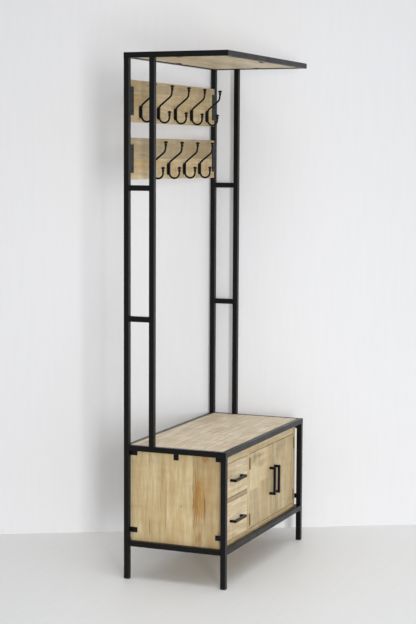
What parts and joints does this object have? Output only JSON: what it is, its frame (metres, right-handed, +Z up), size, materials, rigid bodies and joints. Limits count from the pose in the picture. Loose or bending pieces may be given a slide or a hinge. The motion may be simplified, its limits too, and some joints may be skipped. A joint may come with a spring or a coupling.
{
  "type": "hall tree",
  "caption": "Hall tree with a black square-tube steel frame, a pale wood storage bench with drawers and doors, boards with double coat hooks, and a top shelf.",
  "frame": {"origin": "on the floor, at the middle of the rectangle that the four feet stand on", "axes": "+X to the right seen from the front, +Y to the back, +Z up; the doors and drawers face -Y"},
  "size_m": [0.8, 0.386, 1.84],
  "materials": {
    "frame_steel": "matt black powder coat",
    "mango_wood": "clear matt lacquer on pale solid wood",
    "plywood": "raw",
    "hook_iron": "satin black paint on cast metal",
    "handle_steel": "matt black powder coat",
    "screw_steel": "black oxide",
    "slide_steel": "zinc plated",
    "hinge_steel": "dull plated",
    "glide_plastic": "moulded",
    "catch_plastic": "moulded brown"
  },
  "bodies": {
    "frame": {"bench_front_rail": "frame_steel", "bench_left_rail": "frame_steel", "bench_rear_rail": "frame_steel", "bench_right_rail": "frame_steel", "bench_top": "mango_wood", "cabinet_apron": "mango_wood", "cabinet_back": "plywood", "cabinet_bottom": "mango_wood", "cabinet_divider": "mango_wood", "cabinet_left_side": "mango_wood", "cabinet_right_side": "mango_wood", "door_catches": "catch_plastic", "drawer_rail": "mango_wood", "foot_glides": "glide_plastic", "front_left_leg": "frame_steel", "front_right_leg": "frame_steel", "hinge_frame_leaves": "hinge_steel", "hinge_pins": "hinge_steel", "hook_board_brackets": "frame_steel", "left_upper_post": "frame_steel", "lower_front_rail": "frame_steel", "lower_hook_board": "mango_wood", "lower_hooks": "hook_iron", "lower_left_rail": "frame_steel", "lower_rear_rail": "frame_steel", "lower_right_rail": "frame_steel", "panel_tabs": "frame_steel", "rear_left_upright": "frame_steel", "rear_right_upright": "frame_steel", "right_upper_post": "frame_steel", "shelf_board": "mango_wood", "shelf_front_rail": "frame_steel", "shelf_left_rail": "frame_steel", "shelf_rear_rail": "frame_steel", "shelf_right_rail": "frame_steel", "side_rungs": "frame_steel", "slide_channels": "slide_steel", "upper_hook_board": "mango_wood", "upper_hooks": "hook_iron", "wood_screws": "screw_steel"},
    "upper_drawer": {"upper_drawer_back": "mango_wood", "upper_drawer_bottom": "plywood", "upper_drawer_front": "mango_wood", "upper_drawer_handle": "handle_steel", "upper_drawer_runners": "slide_steel", "upper_drawer_sides": "mango_wood"},
    "lower_drawer": {"lower_drawer_back": "mango_wood", "lower_drawer_bottom": "plywood", "lower_drawer_front": "mango_wood", "lower_drawer_handle": "handle_steel", "lower_drawer_runners": "slide_steel", "lower_drawer_sides": "mango_wood"},
    "left_door": {"left_door_handle": "handle_steel", "left_door_hinge_leaves": "hinge_steel", "left_door_panel": "mango_wood", "left_door_strike": "hinge_steel"},
    "right_door": {"right_door_handle": "handle_steel", "right_door_hinge_leaves": "hinge_steel", "right_door_panel": "mango_wood", "right_door_strike": "hinge_steel"}
  },
  "joints": [
    {"name": "upper_drawer_slide", "type": "slide", "parent": "frame", "child": "upper_drawer", "axis": [0, -1, 0], "range_m": [0, 0.22]},
    {"name": "lower_drawer_slide", "type": "slide", "parent": "frame", "child": "lower_drawer", "axis": [0, -1, 0], "range_m": [0, 0.22]},
    {"name": "left_door_hinge", "type": "hinge", "parent": "frame", "child": "left_door", "pos_m": [-0.10763, -0.1707, 0.2865], "axis": [0, 0, -1], "range_deg": [0, 85]},
    {"name": "right_door_hinge", "type": "hinge", "parent": "frame", "child": "right_door", "pos_m": [0.3613, -0.1707, 0.2865], "axis": [0, 0, 1], "range_deg": [0, 110]}
  ]
}
